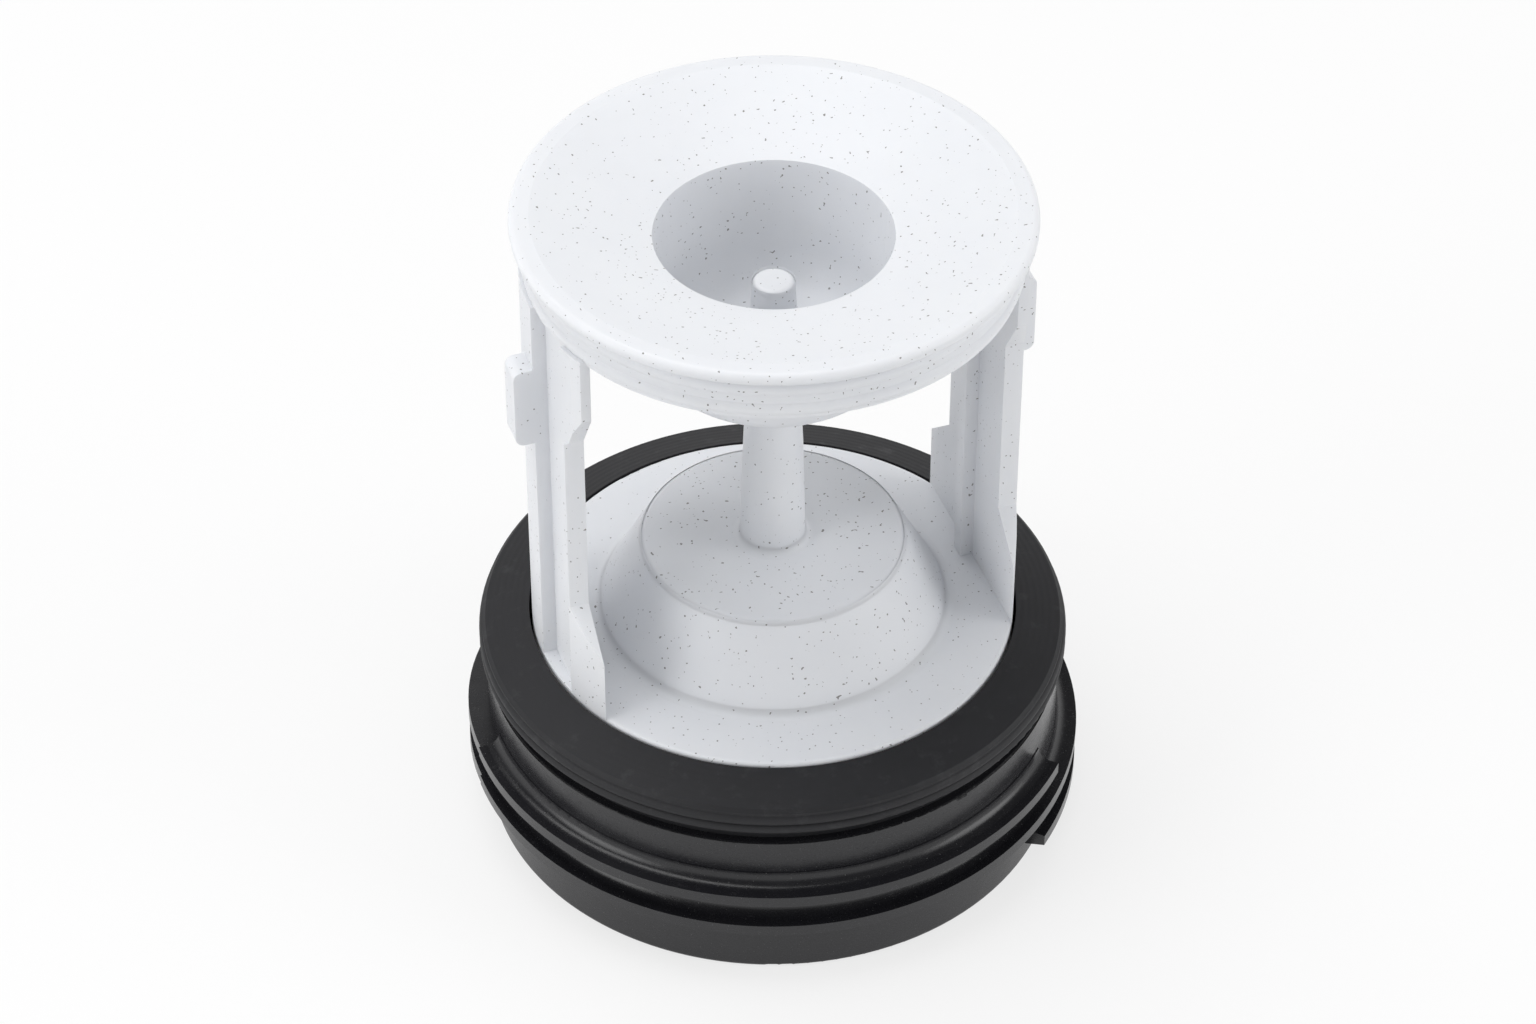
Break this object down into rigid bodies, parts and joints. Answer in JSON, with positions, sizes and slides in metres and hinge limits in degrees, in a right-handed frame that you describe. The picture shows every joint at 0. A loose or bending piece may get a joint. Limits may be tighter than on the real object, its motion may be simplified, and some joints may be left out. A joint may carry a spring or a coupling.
{
  "type": "drain pump lint filter",
  "caption": "Screw-in drain pump filter: black screw cap with a rubber lip seal and a turning white cage with two legs, a centre pin and a dished end plate with a cup.",
  "frame": {"origin": "middle of the cap's outer rim, on the plane the part stands on", "axes": "+Z from the cap to the end plate along the screw axis; the insert's two legs and the grip bar lie along X"},
  "size_m": [0.0624, 0.0624, 0.0723],
  "materials": {
    "cap_plastic": "black moulded plastic, satin to glossy",
    "seal_rubber": "black matt moulded rubber",
    "insert_plastic": "milky white unfilled plastic, smooth with a soft sheen"
  },
  "bodies": {
    "cap": {"screw_cap": "cap_plastic", "seal_ring": "seal_rubber"},
    "insert": {"filter_insert": "insert_plastic"}
  },
  "joints": [
    {"name": "insert_swivel", "type": "hinge", "parent": "cap", "child": "insert", "pos_m": [0, 0, 0.0231], "axis": [0, 0, 1], "continuous": true}
  ]
}
